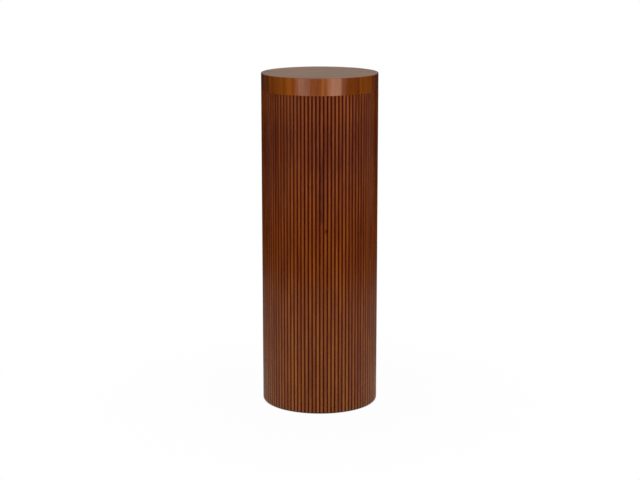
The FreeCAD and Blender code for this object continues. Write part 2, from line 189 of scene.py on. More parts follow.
def copies_round_axis(work, angle, count):
    """Repeats all of the work about the column's axis, count times in all."""
    bmesh.ops.spin(
        work,
        geom=work.verts[:] + work.edges[:] + work.faces[:],
        cent=CENTRE,
        axis=UP,
        angle=angle * (count - 1),
        steps=count - 1,
        use_duplicate=True,
    )


def slat_width():
    """A slat's width, so that its crest is on the column's radius and its back meets the next one's."""
    half_turn = math.tan(SLAT_PITCH / 2)
    return (2 * (RADIUS - SLAT_SHOULDER) * half_turn - SLAT_GAP) / (1 + half_turn)


def make_slats(side):
    """One tambour sheet's slats: rods cut flat along the back, with sanded ends."""
    work = bmesh.new()
    half = slat_width() / 2
    bmesh.ops.create_cone(
        work,
        cap_ends=True,
        segments=SLAT_ROUND_SIDES,
        radius1=half,
        radius2=half,
        depth=CAP_BOTTOM - SLAT_BOTTOM,
        matrix=Matrix.Rotation(math.pi / SLAT_ROUND_SIDES, 4, "Z"),
    )
    cut = bmesh.ops.bisect_plane(
        work,
        geom=work.verts[:] + work.edges[:] + work.faces[:],
        plane_co=(-SLAT_SHOULDER, 0, 0),
        plane_no=(-1, 0, 0),
        clear_outer=True,
    )
    open_edges = [part for part in cut["geom_cut"] if isinstance(part, bmesh.types.BMEdge)]
    bmesh.ops.edgeloop_fill(work, edges=open_edges)
    ends = [edge for edge in work.edges if edge.verts[0].co.z * edge.verts[1].co.z > 0]
    ease(work, ends, SLAT_EASING)
    middle = (CAP_BOTTOM + SLAT_BOTTOM) / 2
    bmesh.ops.translate(work, verts=work.verts, vec=(RADIUS - half, 0, middle))
    turn_by(work, math.radians(SIDES[side]) - math.pi / SHEET_COUNT + SLAT_PITCH / 2)
    copies_round_axis(work, SLAT_PITCH, SLATS_PER_SHEET)
    finish_piece(f"slats_{side}", work, "stained_slats", [f"tambour_slats_{side}"])


def make_canvas(side):
    """The cloth behind one sheet's slats: a quarter of a thin tube, laid on the plywood drum."""
    work = bmesh.new()
    middle = CANVAS_OUTER - CANVAS_THICKNESS / 2
    quarter = FULL_TURN / SHEET_COUNT - CANVAS_SEAM / CANVAS_OUTER
    turned(work, [(middle, SLAT_BOTTOM), (middle, CAP_BOTTOM)], CANVAS_STEPS, quarter)
    bmesh.ops.solidify(work, geom=work.faces[:], thickness=CANVAS_THICKNESS)
    reach = max(math.hypot(vert.co.x, vert.co.y) for vert in work.verts)
    fit = CANVAS_OUTER / reach
    bmesh.ops.scale(work, verts=work.verts, vec=(fit, fit, 1))
    turn_by(work, math.radians(SIDES[side]) - quarter / 2)
    piece = finish_piece(f"canvas_{side}", work, "tambour_canvas", [f"tambour_canvas_{side}"])


def make_band():
    """The smooth hoop round the cap, rounded along its top edge."""
    work = bmesh.new()
    inner = RADIUS - BAND_THICKNESS
    section = [(inner, CAP_BOTTOM), (RADIUS, CAP_BOTTOM), (RADIUS, HEIGHT), (inner, HEIGHT)]
    turned(work, section + section[:1], ROUND_STEPS)
    ease(work, ring_edges(work, RADIUS, HEIGHT), BAND_ROUND, BAND_ROUND_STEPS)
    ease(work, ring_edges(work, RADIUS, CAP_BOTTOM), JOINT_EASING)
    ease(work, ring_edges(work, inner, HEIGHT), JOINT_EASING)
    finish_piece("rim_band", work, "stained_band", ["cap_rim_band"])


def make_top():
    """The leaf of veneer inside the hoop, its edge sanded."""
    work = bmesh.new()
    thickness = TOP_HIGH.z - TOP_LOW.z
    bmesh.ops.create_cone(
        work,
        cap_ends=True,
        segments=ROUND_STEPS,
        radius1=TOP_HIGH.x,
        radius2=TOP_HIGH.x,
        depth=thickness,
        matrix=Matrix.Translation((0, 0, TOP_LOW.z + thickness / 2)),
    )
    ease(work, ring_edges(work, TOP_HIGH.x, TOP_HIGH.z), JOINT_EASING)
    finish_piece("top_veneer", work, "stained_top", ["cap_top_veneer"])


def make_foot(side):
    """A round nylon glide with a counterbore for its screw."""
    work = bmesh.new()
    low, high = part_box(f"glide_{side}")
    reach = (high.x - low.x) / 2
    outline = [
        (FOOT_COUNTERBORE, low.z),
        (reach - FOOT_CHAMFER, low.z),
        (reach, low.z + FOOT_CHAMFER),
        (reach, high.z),
        (FOOT_BORE, high.z),
        (FOOT_BORE, low.z + FOOT_SEAT),
        (FOOT_COUNTERBORE, low.z + FOOT_SEAT),
    ]
    turned(work, outline + outline[:1], FOOT_STEPS)
    ease(work, ring_edges(work, reach, low.z + FOOT_CHAMFER), FOOT_EASING, FOOT_EASING_STEPS)
    ease(work, ring_edges(work, FOOT_COUNTERBORE, low.z), FOOT_EASING, FOOT_EASING_STEPS)
    place = ((low.x + high.x) / 2, (low.y + high.y) / 2, 0)
    bmesh.ops.translate(work, verts=work.verts, vec=place)
    finish_piece(f"foot_{side}", work, "glide_nylon", [f"glide_{side}"])


# ------------------------------------------------------------------- screws


def next_ring(work, ring, radius, height):
    """Grows an open ring of edges to a radius and a height, and gives the new open ring."""
    grown = bmesh.ops.extrude_edge_only(work, edges=ring)["geom"]
    ring = [part for part in grown if isinstance(part, bmesh.types.BMEdge)]
    for vert in {vert for edge in ring for vert in edge.verts}:
        flat = vert.co.xy.normalized() * radius
        vert.co = (flat.x, flat.y, height)
    return ring


def add_pan_head(work, reach):
    """A domed head with a cross recess, upside down: its top at height 0 and its seat above. Gives
    the open ring of edges at the seat."""
    arm = reach * CROSS_ARM
    square = reach * CROSS_REACH
    grid = bmesh.ops.create_grid(work, x_segments=3, y_segments=3, size=square)["verts"]
    for vert in grid:
        for axis in (0, 1):
            if abs(vert.co[axis]) < square / 2:
                vert.co[axis] = math.copysign(arm, vert.co[axis])
    faces = {face for vert in grid for face in vert.link_faces}
    cross = [face for face in faces if min(abs(x) for x in face.calc_center_median().xy) < arm]
    outside = [edge for edge in work.edges if len(edge.link_faces) == 1]
    sunk = bmesh.ops.extrude_face_region(work, geom=cross)["geom"]
    floor = [part for part in sunk if isinstance(part, bmesh.types.BMVert)]
    bmesh.ops.translate(work, verts=floor, vec=(0, 0, HEAD_HEIGHT * CROSS_DEPTH))
    bmesh.ops.scale(work, verts=floor, vec=(CROSS_TAPER, CROSS_TAPER, 1))
    bmesh.ops.delete(work, geom=cross, context="FACES")
    flat, low = HEAD_FLAT
    rim = bmesh.ops.create_circle(work, segments=HEAD_SIDES, radius=reach * flat)["verts"]
    bmesh.ops.translate(work, verts=rim, vec=(0, 0, HEAD_HEIGHT * low))
    ring = [edge for edge in work.edges if all(vert in rim for vert in edge.verts)]
    bmesh.ops.bridge_loops(work, edges=outside + ring)
    for share, height in HEAD_DOME:
        ring = next_ring(work, ring, reach * share, HEAD_HEIGHT * height)
    return ring


def add_shank(work, ring, radius, length):
    """The head's underside, the bare shank, then the core of the thread, up to the tip."""
    core = radius * (1 - THREAD_DEPTH * 2)
    tip = length - radius * 2 * TIP_LENGTH
    bare = length * BARE_SHANK
    stations = ((radius, HEAD_HEIGHT), (radius, bare), (core, bare), (core, tip), (TIP_RADIUS, length))
    for reach, height in stations:
        ring = next_ring(work, ring, reach, height)
    bmesh.ops.edgeloop_fill(work, edges=ring)


def add_thread(work, radius, length):
    """A sharp helical ridge along the shank, closed at both ends."""
    foot = radius * (1 - THREAD_DEPTH * 2) * THREAD_SINK
    pitch = radius * 2 * THREAD_PITCH
    half = pitch * THREAD_HALF
    start = length * BARE_SHANK + pitch
    turns = math.floor((length - radius * 2 * TIP_LENGTH - start) / pitch)
    section = [(foot, -half), (radius, 0), (foot, half)]
    points = [work.verts.new((reach, 0, start + height)) for reach, height in section]
    bmesh.ops.spin(
        work,
        geom=[work.faces.new(points)],
        cent=CENTRE,
        axis=UP,
        dvec=UP * pitch / THREAD_STEPS,
        angle=turns * FULL_TURN,
        steps=turns * THREAD_STEPS,
    )


def make_screws(ring):
    """A ring of four wood screws, driven up or down into the wood."""
    low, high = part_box(ring.node)
    length = high.z - low.z
    turn = math.radians(ring.first_turn)
    circle = (high.x - ring.head / 2) / math.cos(turn)
    work = bmesh.new()
    seat = add_pan_head(work, ring.head / 2)
    add_shank(work, seat, ring.shank / 2, length)
    add_thread(work, ring.shank / 2, length)
    if ring.downward:
        upside_down = Matrix.Rotation(math.pi, 3, "X")
        bmesh.ops.rotate(work, verts=work.verts, cent=CENTRE, matrix=upside_down)
    bmesh.ops.translate(work, verts=work.verts, vec=(circle, 0, high.z if ring.downward else low.z))
    turn_by(work, turn)
    copies_round_axis(work, FULL_TURN / SCREWS_IN_RING, SCREWS_IN_RING)
    name = ring.node.replace("_screws", "_wood_screws")
    finish_piece(name, work, "zinc_screws", [ring.node], SCREW_CREASE)


# ---------------------------------------------------------------- node work


class Wiring:
    """A node tree, with short ways to add nodes. An input is a value or another node's output."""

    def __init__(self, tree):
        self.tree = tree

    def add(self, kind, inputs=(), **settings):
        node = self.tree.nodes.new(kind)
        for name, value in settings.items():
            setattr(node, name, value)
        for name, value in dict(inputs).items():
            self.feed(node.inputs[name], value)
        return node

    def feed(self, socket, value):
        if isinstance(value, bpy.types.NodeSocket):
            self.tree.links.new(value, socket)
        else:
            socket.default_value = value

    def math(self, operation, *values, clamp=False):
        node = self.add("ShaderNodeMath", enumerate(values), operation=operation, use_clamp=clamp)
        return node.outputs[0]

    def parts(self, vector):
        """A vector's three parts."""
        return self.add("ShaderNodeSeparateXYZ", {0: vector}).outputs

    def vector(self, x=0.0, y=0.0, z=0.0):
        return self.add("ShaderNodeCombineXYZ", {0: x, 1: y, 2: z}).outputs[0]

    def length(self, vector):
        node = self.add("ShaderNodeVectorMath", {0: vector}, operation="LENGTH")
        return node.outputs["Value"]

    def scaled(self, vector, factors):
        """A vector with each of its parts multiplied."""
        node = self.add("ShaderNodeVectorMath", {0: vector, 1: factors}, operation="MULTIPLY")
        return node.outputs[0]

    def mix(self, factor, first, second, blend="MIX"):
        """One colour mixed with another."""
        node = self.add("ShaderNodeMix", {0: factor, 6: first, 7: second}, data_type="RGBA")
        node.blend_type = blend
        return node.outputs[2]

    def tint(self, base, color, mask, share):
        """A base colour with a share of another colour where the mask is 1."""
        return self.mix(self.math("MULTIPLY", mask, share), base, color)

    def filtered(self, factor, color, glass):
        """A colour as seen through a coloured glass, by a factor."""
        return self.mix(factor, color, self.mix(1.0, color, glass, "MULTIPLY"))

    def ramp(self, value, low, high, start=0.0, end=1.0):
        """Start below low, end above high, and smooth between them."""
        inputs = {0: value, 1: low, 2: high, 3: start, 4: end}
        node = self.add("ShaderNodeMapRange", inputs, interpolation_type="SMOOTHSTEP")
        return node.outputs[0]

    def raised(self, mask, least, more):
        """A least value, with more added where the mask is 1."""
        return self.math("MULTIPLY_ADD", mask, more, least)

    def noise(self, vector, scale, detail=2.0, roughness=0.5, distortion=0.0):
        """Noise with a scale in cells to the metre along each axis."""
        inputs = {
            "Vector": self.scaled(vector, scale),
            "Scale": 1.0,
            "Detail": detail,
            "Roughness": roughness,
            "Distortion": distortion,
        }
        return self.add("ShaderNodeTexNoise", inputs).outputs[0]

    def random(self, number, seed):
        """A steady random number from 0 to 1 for each whole number."""
        seeded = self.math("ADD", number, seed)
        return self.add("ShaderNodeTexWhiteNoise", {"W": seeded}, noise_dimensions="1D").outputs[0]

    def group(self, group, **inputs):
        node = self.add("ShaderNodeGroup", node_tree=group)
        for name, value in inputs.items():
            self.feed(node.inputs[name], value)
        return node.outputs


def new_group(name, inputs, outputs):
    """An empty node group, as (the group, its wiring, its inputs' outputs, its outputs' inputs)."""
    tree = bpy.data.node_groups.new(name, "ShaderNodeTree")
    for label, kind in inputs.items():
        tree.interface.new_socket(name=label, in_out="INPUT", socket_type="NodeSocket" + kind)
    for label, kind in outputs.items():
        tree.interface.new_socket(name=label, in_out="OUTPUT", socket_type="NodeSocket" + kind)
    wiring = Wiring(tree)
    return tree, wiring, wiring.add("NodeGroupInput").outputs, wiring.add("NodeGroupOutput").inputs


# Grain that runs along Z: cells to the metre along X, Y and Z, and the values of the noise between
# which each mask rises from 0 to 1.
FIGURE_SCALE = (110, 110, 3.2)
FIGURE_RISE = (0.3, 0.7)
FIBRE_SCALE = (900, 900, 11)
FIBRE_RISE = (0.28, 0.72)
PORE_SCALE = (1700, 1700, 60)
PORE_RISE = (0.6, 0.72)
GRAIN_SHIFT = (1.7, 2.9, 5.3)  # how far a piece's own number moves its grain

# How much each thing counts in the stain's lightness, its dullness and its relief.
FIGURE_SHARE = 0.55
FIBRE_SHARE = 0.3
TONE_SHARE = 0.7
LIGHTNESS_SHARE = 0.65
PORE_SHARE = 0.5
PORE_DULLNESS = 0.12
FIBRE_DULLNESS = 0.05
FIBRE_RELIEF = 0.35

# The stain, where the wood drinks it most and least and in each kind of mark. The golden and the
# faded one are glasses that it is seen through.
STAIN_DEEP = (0.08, 0.0075, 0.0003, 1)
STAIN_PALE = (0.38, 0.088, 0.005, 1)
STAIN_GOLDEN = (1.16, 1.6, 1.2, 1)
STAIN_PORE = (0.035, 0.006, 0.001, 1)
# the colour in the grooves between slats: pooled stain, darkened further as painted shade
STAIN_POOLED_AND_SHADE = (0.1, 0.007, 0.0002, 1)
STAIN_FADED = (0.88, 1.4, 2.6, 1)
STAIN_KNOT = (0.022, 0.0015, 0.0002, 1)


def round_the_column():
    """Where a point lies round the upright axis: its turn from the front, rightwards, its distance
    from the axis, and its height."""
    tree, wiring, given, wanted = new_group(
        "round the column",
        {"Position": "Vector"},
        {"Turn": "Float", "Reach": "Float", "Height": "Float"},
    )
    x, y, z = wiring.parts(given["Position"])
    forward = wiring.math("MULTIPLY", y, -1.0)
    squares = wiring.math("ADD", wiring.math("MULTIPLY", x, x), wiring.math("MULTIPLY", y, y))
    wiring.feed(wanted["Turn"], wiring.math("ARCTAN2", x, forward))
    wiring.feed(wanted["Reach"], wiring.math("SQRT", squares))
    wiring.feed(wanted["Height"], z)
    return tree


def straight_grain():
    """Straight wood grain that runs along Z: broad figure, fine fibres and short open pores."""
    tree, wiring, given, wanted = new_group(
        "straight grain",
        {"Position": "Vector", "Shift": "Float"},
        {"Figure": "Float", "Fibre": "Float", "Pores": "Float"},
    )
    shift = wiring.scaled(given["Shift"], GRAIN_SHIFT)
    place = wiring.add("ShaderNodeVectorMath", {0: given["Position"], 1: shift}, operation="ADD")
    place = place.outputs[0]
    figure = wiring.noise(place, FIGURE_SCALE, detail=3.0, roughness=0.62, distortion=0.6)
    fibre = wiring.noise(place, FIBRE_SCALE, roughness=0.6)
    pores = wiring.noise(place, PORE_SCALE, detail=1.0)
    wiring.feed(wanted["Figure"], wiring.ramp(figure, *FIGURE_RISE))
    wiring.feed(wanted["Fibre"], wiring.ramp(fibre, *FIBRE_RISE))
    wiring.feed(wanted["Pores"], wiring.ramp(pores, *PORE_RISE))
    return tree


def stained_lacquer():
    """Red-brown stain under a satin lacquer: darker where the grain drinks it, where pores are open and
    in recesses, where it pools and where painted shade darkens it."""
    tree, wiring, given, wanted = new_group(
        "stained lacquer",
        {
            "Figure": "Float",
            "Fibre": "Float",
            "Pores": "Float",
            "Tone": "Float",
            "Warmth": "Float",
            "Hollow": "Float",
            "Knot": "Float",
            "Fading": "Float",
            "Dullness": "Float",
        },
        {"Color": "Color", "Roughness": "Float", "Relief": "Float"},
    )
    figure = wiring.math("MULTIPLY", given["Figure"], FIGURE_SHARE)
    fibre = wiring.math("MULTIPLY", given["Fibre"], FIBRE_SHARE)
    grain = wiring.math("ADD", figure, fibre)
    tone = wiring.math("MULTIPLY_ADD", given["Tone"], TONE_SHARE, grain)
    lightness = wiring.math("MULTIPLY", tone, LIGHTNESS_SHARE, clamp=True)
    wood = wiring.mix(lightness, STAIN_DEEP, STAIN_PALE)
    wood = wiring.tint(wood, STAIN_PORE, given["Pores"], PORE_SHARE)
    # pooled stain in the recesses, with painted shade
    wood = wiring.mix(given["Hollow"], wood, STAIN_POOLED_AND_SHADE)
    wood = wiring.mix(given["Knot"], wood, STAIN_KNOT)
    wood = wiring.filtered(given["Warmth"], wood, STAIN_GOLDEN)
    wood = wiring.filtered(given["Fading"], wood, STAIN_FADED)
    dull = wiring.math("MULTIPLY_ADD", given["Pores"], PORE_DULLNESS, given["Dullness"])
    dull = wiring.math("MULTIPLY_ADD", given["Fibre"], FIBRE_DULLNESS, dull)
    open_pores = wiring.math("MULTIPLY", given["Pores"], -1.0)
    relief = wiring.math("MULTIPLY_ADD", given["Fibre"], FIBRE_RELIEF, open_pores)
    wiring.feed(wanted["Color"], wood)
    wiring.feed(wanted["Roughness"], dull)
    wiring.feed(wanted["Relief"], relief)
    return tree


GLUE_LINE = (0.42, 0.48)  # it darkens between these, in plies from the middle of a ply


def plywood_layers():
    """Thin plies across a board, every other one end grain, with dark glue lines between."""
    tree, wiring, given, wanted = new_group(
        "plywood layers",
        {"Across": "Float", "Ply": "Float"},
        {"End grain": "Float", "Glue": "Float"},
    )
    layer = wiring.math("DIVIDE", given["Across"], given["Ply"])
    from_middle = wiring.math("SUBTRACT", wiring.math("FRACT", layer), 0.5)
    odd = wiring.math("FLOORED_MODULO", wiring.math("FLOOR", layer), 2.0)
    wiring.feed(wanted["End grain"], odd)
    wiring.feed(wanted["Glue"], wiring.ramp(wiring.math("ABSOLUTE", from_middle), *GLUE_LINE))
    return tree


FLECK_SCALE = (1400, 1400, 1400)
CLOUD_SCALE = (35, 35, 35)


def pressed_fibres():
    """The fine fleck and fuzz of fibreboard."""
    tree, wiring, given, wanted = new_group(
        "pressed fibres", {"Position": "Vector"}, {"Fleck": "Float", "Cloud": "Float"}
    )
    fleck = wiring.noise(given["Position"], FLECK_SCALE, roughness=0.7)
    cloud = wiring.noise(given["Position"], CLOUD_SCALE, detail=3.0)
    wiring.feed(wanted["Fleck"], wiring.ramp(fleck, low=0.35, high=0.7))
    wiring.feed(wanted["Cloud"], wiring.ramp(cloud, low=0.3, high=0.7))
    return tree


# ---------------------------------------------------------- stained materials

# Each slat has its own tone and warmth. It is warmer towards the foot, and a belt of the slats a little
# below the cap is darker in tone.
SLAT_TONE_SEED = 211.0
SLAT_WARMTH_SEED = 517.0
SLAT_TONE = (0.35, -0.38)  # the spread between slats, and the shift of all
SLAT_WARMTH = 0.2
ALONG_SCALE = (90, 1, 9)
WARM_HEIGHT = 0.65
WARMTH_AT_FOOT = 0.8
BELT_RISE = (0.62, 0.71)
BELT_FALL = (0.76, 0.83)
BELT_TONE = -0.3
# the grooves darken between these depths: pooled stain and painted shade
POOLING_AND_SHADE_DEPTH = (0.1 * MM, 1.8 * MM)
SATIN = 0.17  # dullness of the lacquer on slats and band
SLAT_RELIEF = 0.04 * MM

# Seen from the front, the slat right of the middle groove has a dark stretch, and the one after it
# a pin knot on its right flank, with a dark streak below it.
DARK_STRETCH = (0.515, 0.69)
DARK_STRETCH_SLAT = 0
DARK_STRETCH_ENDS = (25 * MM, 12 * MM)  # it fades over these, at its foot and at its head
DARK_STRETCH_SHARE = 0.35
MOTTLE_SCALE = (1, 1, 45)
KNOT_HEIGHT = 0.507
KNOT_SLAT = 1
KNOT_PLACE = 0.75  # share of the slat's width
KNOT_SIZE = (2.8 * MM, 4.4 * MM)
KNOT_FADE = (0.3, 2.4)  # in knot sizes from its middle
KNOT_SHARE = 0.8
STREAK_LENGTH = 50 * MM
STREAK_SIDE = (0.7, 0.85)  # shares of the slat's width
STREAK_SHARE = 0.7

# The veneer leaves round the band.
LEAF_COUNT = 18
LEAF_TURN = FULL_TURN / LEAF_COUNT
FIRST_LEAF = math.radians(1.3)
LEAF_SEED = 3384.0
LEAF_TONE = 0.06
LEAF_WARMTH = 0.3
BAND_RELIEF = 0.03 * MM

# The veneer leaves of the top, with clouds along their grain.
TOP_LEAF_WIDTH = 120 * MM
TOP_SEED = 31.0
TOP_TONE = (0.2, -0.1)  # the spread between leaves, and the shift of all
TOP_CLOUDS = (6, 30, 6)
TOP_DULLNESS = 0.32
TOP_RELIEF = 0.05 * MM


def new_material(name, **settings):
    """A material with its Principled shader: (material, wiring, the shader's inputs, positions)."""
    material = bpy.data.materials.new(name)
    material.use_nodes = True
    wiring = Wiring(material.node_tree)
    shader = material.node_tree.nodes["Principled BSDF"]
    for socket, value in settings.items():
        shader.inputs[socket.replace("_", " ")].default_value = value
    position = wiring.add("ShaderNodeTexCoord").outputs["Object"]
    return material, wiring, shader.inputs, position


def add_relief(wiring, shader, height, depth):
    """A bump of a real depth in metres."""
    bump = wiring.add("ShaderNodeBump", {"Height": height, "Distance": depth, "Strength": 1.0})
    wiring.feed(shader["Normal"], bump.outputs[0])


def finish_with_stain(
    wiring, shader, grain, tone, warmth, dullness, relief_depth, pooled_shade=0.0, knot=0.0, fading=0.0
):
    """Feeds the stained and lacquered wood to the shader."""
    wood = wiring.group(
        STAIN,
        Figure=grain["Figure"],
        Fibre=grain["Fibre"],
        Pores=grain["Pores"],
        Tone=tone,
        Warmth=warmth,
        Hollow=pooled_shade,
        Knot=knot,
        Fading=fading,
        Dullness=dullness,
    )
    wiring.feed(shader["Base Color"], wood["Color"])
    wiring.feed(shader["Roughness"], wood["Roughness"])
    add_relief(wiring, shader, wood["Relief"], relief_depth)


def is_slat(wiring, slat, number):
    """1 on the slat of a number, and 0 on all others."""
    return wiring.math("COMPARE", slat, float(number), 0.5)


def pin_knot(wiring, slat, across, height):
    """The mask of a pin knot on one slat, with a streak below it."""
    sideways = wiring.math("SUBTRACT", across, KNOT_PLACE)
    sideways = wiring.math("MULTIPLY", sideways, SLAT_PITCH * RADIUS / KNOT_SIZE[0])
    upward = wiring.math("DIVIDE", wiring.math("SUBTRACT", height, KNOT_HEIGHT), KNOT_SIZE[1])
    away = wiring.length(wiring.vector(sideways, upward))
    knot = wiring.ramp(away, *KNOT_FADE, start=KNOT_SHARE, end=0.0)
    streak = wiring.ramp(height, KNOT_HEIGHT - STREAK_LENGTH, KNOT_HEIGHT, end=STREAK_SHARE)
    streak = wiring.math("MULTIPLY", streak, wiring.ramp(across, *STREAK_SIDE))
    streak = wiring.math("MULTIPLY", streak, wiring.math("LESS_THAN", height, KNOT_HEIGHT))
    on_slat = is_slat(wiring, slat, KNOT_SLAT)
    return wiring.math("MULTIPLY", on_slat, wiring.math("MAXIMUM", knot, streak))


def dark_stretch(wiring, slat, across, height):
    """The mask of the mottled stretch of one slat where the stain lies heavy."""
    low, high = DARK_STRETCH
    fade_in, fade_out = DARK_STRETCH_ENDS
    rise = wiring.ramp(height, low, low + fade_in)
    fall = wiring.ramp(height, high - fade_out, high, start=1.0, end=0.0)
    mottle = wiring.noise(wiring.vector(across, 0.0, height), MOTTLE_SCALE)
    mottle = wiring.ramp(mottle, low=0.35, high=0.65, start=0.55)
    on_slat = is_slat(wiring, slat, DARK_STRETCH_SLAT)
    stretch = wiring.math("MULTIPLY", on_slat, wiring.math("MULTIPLY", rise, fall))
    stretch = wiring.math("MULTIPLY", stretch, mottle)
    return wiring.math("MULTIPLY", stretch, DARK_STRETCH_SHARE)


def stained_slats():
    """Each slat is its own stick of wood, with its own tone. The stain pools between them, and painted
    shade darkens the grooves.
    """
    material, wiring, shader, position = new_material("stained_slats", Specular_IOR_Level=0.24)
    where = wiring.group(ROUND_COLUMN, Position=position)
    height = where["Height"]
    turns = wiring.math("DIVIDE", where["Turn"], SLAT_PITCH)
    slat = wiring.math("FLOOR", turns)
    across = wiring.math("SUBTRACT", turns, slat)
    own = wiring.random(slat, SLAT_TONE_SEED)
    own_warmth = wiring.random(slat, SLAT_WARMTH_SEED)
    grain = wiring.group(GRAIN, Position=position, Shift=own)

    low_down = wiring.ramp(height, 0.0, WARM_HEIGHT, start=WARMTH_AT_FOOT, end=0.0)
    warmth = wiring.math("MULTIPLY_ADD", own_warmth, SLAT_WARMTH, low_down, clamp=True)
    spread, shift = SLAT_TONE
    along = wiring.noise(wiring.vector(own, 0.0, height), ALONG_SCALE)
    tone = wiring.math("MULTIPLY_ADD", own, spread, wiring.math("ADD", along, shift))
    belt = wiring.ramp(height, *BELT_RISE)
    below_cap = wiring.ramp(height, *BELT_FALL, start=1.0, end=0.0)
    belt = wiring.math("MULTIPLY", belt, below_cap)
    tone = wiring.math("MULTIPLY_ADD", belt, BELT_TONE, tone)

    stretch = dark_stretch(wiring, slat, across, height)
    knot = wiring.math("MAXIMUM", pin_knot(wiring, slat, across, height), stretch)
    # deeper into a groove the slat is darker: pooled stain and painted shade, and the dark stretch
    depth = wiring.math("SUBTRACT", RADIUS, where["Reach"])
    pooled_shade = wiring.math("MAXIMUM", wiring.ramp(depth, *POOLING_AND_SHADE_DEPTH), stretch)
    finish_with_stain(wiring, shader, grain, tone, warmth, SATIN, SLAT_RELIEF, pooled_shade, knot)
    return material


def stained_band():
    """Leaves of veneer with upright grain, round the cap. Each takes the stain in its own way."""
    material, wiring, shader, position = new_material("stained_band", Specular_IOR_Level=0.5)
    where = wiring.group(ROUND_COLUMN, Position=position)
    leaf = wiring.math("DIVIDE", wiring.math("SUBTRACT", where["Turn"], FIRST_LEAF), LEAF_TURN)
    leaf = wiring.math("FLOORED_MODULO", wiring.math("FLOOR", leaf), float(LEAF_COUNT))
    own = wiring.random(leaf, LEAF_SEED)
    grain = wiring.group(GRAIN, Position=position, Shift=own)
    tone = wiring.math("ADD", own, LEAF_TONE)
    warmth = wiring.math("MULTIPLY", own, LEAF_WARMTH)
    finish_with_stain(wiring, shader, grain, tone, warmth, SATIN, BAND_RELIEF)
    return material


def stained_top():
    """Wide leaves of veneer side by side, with the grain from left to right, a little faded."""
    material, wiring, shader, position = new_material("stained_top", Specular_IOR_Level=0.53)
    x, y, z = wiring.parts(position)
    leaf = wiring.math("FLOOR", wiring.math("DIVIDE", y, TOP_LEAF_WIDTH))
    own = wiring.random(leaf, TOP_SEED)
    grain = wiring.group(GRAIN, Position=wiring.vector(y, z, x), Shift=own)
    clouds = wiring.noise(position, TOP_CLOUDS, detail=4.0, roughness=0.6, distortion=0.8)
    clouds = wiring.ramp(clouds, low=0.35, high=0.65)
    tone = wiring.math("ADD", clouds, wiring.math("MULTIPLY_ADD", own, *TOP_TONE))
    warmth = wiring.math("MULTIPLY", own, LEAF_WARMTH)
    finish_with_stain(wiring, shader, grain, tone, warmth, TOP_DULLNESS, TOP_RELIEF, fading=1.0)
    return material


# ------------------------------------------------------------ bare materials

BIRCH = {
    "deep": (0.56, 0.38, 0.21, 1),
    "pale": (0.70, 0.52, 0.33, 1),
    "pore": (0.36, 0.21, 0.1, 1),
    "end grain": (0.42, 0.26, 0.13, 1),
    "glue": (0.16, 0.08, 0.04, 1),
}
BIRCH_PLY = 1.5 * MM
BIRCH_SHIFT = 0.4  # its own number, for the grain
BENDING_PLY = {
    "deep": (0.44, 0.28, 0.15, 1),
    "pale": (0.60, 0.42, 0.26, 1),
    "end grain": (0.34, 0.19, 0.1, 1),
    "glue": (0.15, 0.08, 0.04, 1),
}
BENDING_PLY_THICKNESS = 1.0 * MM
BENDING_PLY_SHIFT = 0.7
PINE = {
    "deep": (0.66, 0.46, 0.25, 1),
    "pale": (0.76, 0.57, 0.34, 1),
    "late wood": (0.47, 0.24, 0.08, 1),
}
PINE_HEART = (0.05, 0.03, 0)
PINE_SHIFT = 0.2
PINE_RINGS = 75  # the scale of the wave along X and Y
PINE_STRETCH = (1, 1, 0.04)
CAP_BOARD = {"board": (0.42, 0.27, 0.15, 1), "fleck": (0.24, 0.14, 0.07, 1)}
BASE_BOARD = {
    "board": (0.26, 0.155, 0.085, 1),
    "fleck": (0.14, 0.08, 0.045, 1),
    "sealer": (0.11, 0.06, 0.035, 1),
}
BOARD_CLOUD = 0.82  # brightness of a board's darker clouds
BRUSH_STROKES = (25, 700, 25)
CANVAS = {
    "shadow": (0.055, 0.038, 0.026, 1),
    "thread": (0.15, 0.11, 0.08, 1),
    "glue": (0.07, 0.025, 0.012, 1),
}
CANVAS_THREAD = 0.9 * MM
SMEAR_SCALE = (28, 28, 9)
ZINC = {
    "dull": (0.50, 0.49, 0.46, 1),
    "bright": (0.68, 0.67, 0.64, 1),
    "yellow": (0.70, 0.60, 0.36, 1),
}
ZINC_CLOUDS = (420, 420, 420)
ZINC_TINGE = (120, 120, 120)
NYLON = {
    "deep": (0.035, 0.027, 0.022, 1),
    "pale": (0.055, 0.043, 0.036, 1),
    "scuffed": (0.1, 0.088, 0.078, 1),
}
NYLON_GRIT = (2600, 2600, 2600)
NYLON_SCUFFS = (420, 160, 300)
SOLE = (0.2 * MM, 0.8 * MM)  # the scuffs fade out between these heights


def birch_plywood():
    """Sanded birch on the faces, plies along the edges."""
    material, wiring, shader, position = new_material("birch_plywood", Roughness=0.62)
    x, y, z = wiring.parts(position)
    grain = wiring.group(GRAIN, Position=wiring.vector(y, z, x), Shift=BIRCH_SHIFT)
    plies = wiring.group(PLIES, Across=z, Ply=BIRCH_PLY)
    wood = wiring.mix(grain["Figure"], BIRCH["deep"], BIRCH["pale"])
    wood = wiring.tint(wood, BIRCH["pore"], grain["Pores"], share=0.35)
    wood = wiring.tint(wood, BIRCH["end grain"], plies["End grain"], share=0.4)
    wood = wiring.tint(wood, BIRCH["glue"], plies["Glue"], share=0.7)
    wiring.feed(shader["Base Color"], wood)
    add_relief(wiring, shader, grain["Fibre"], depth=0.06 * MM)
    return material


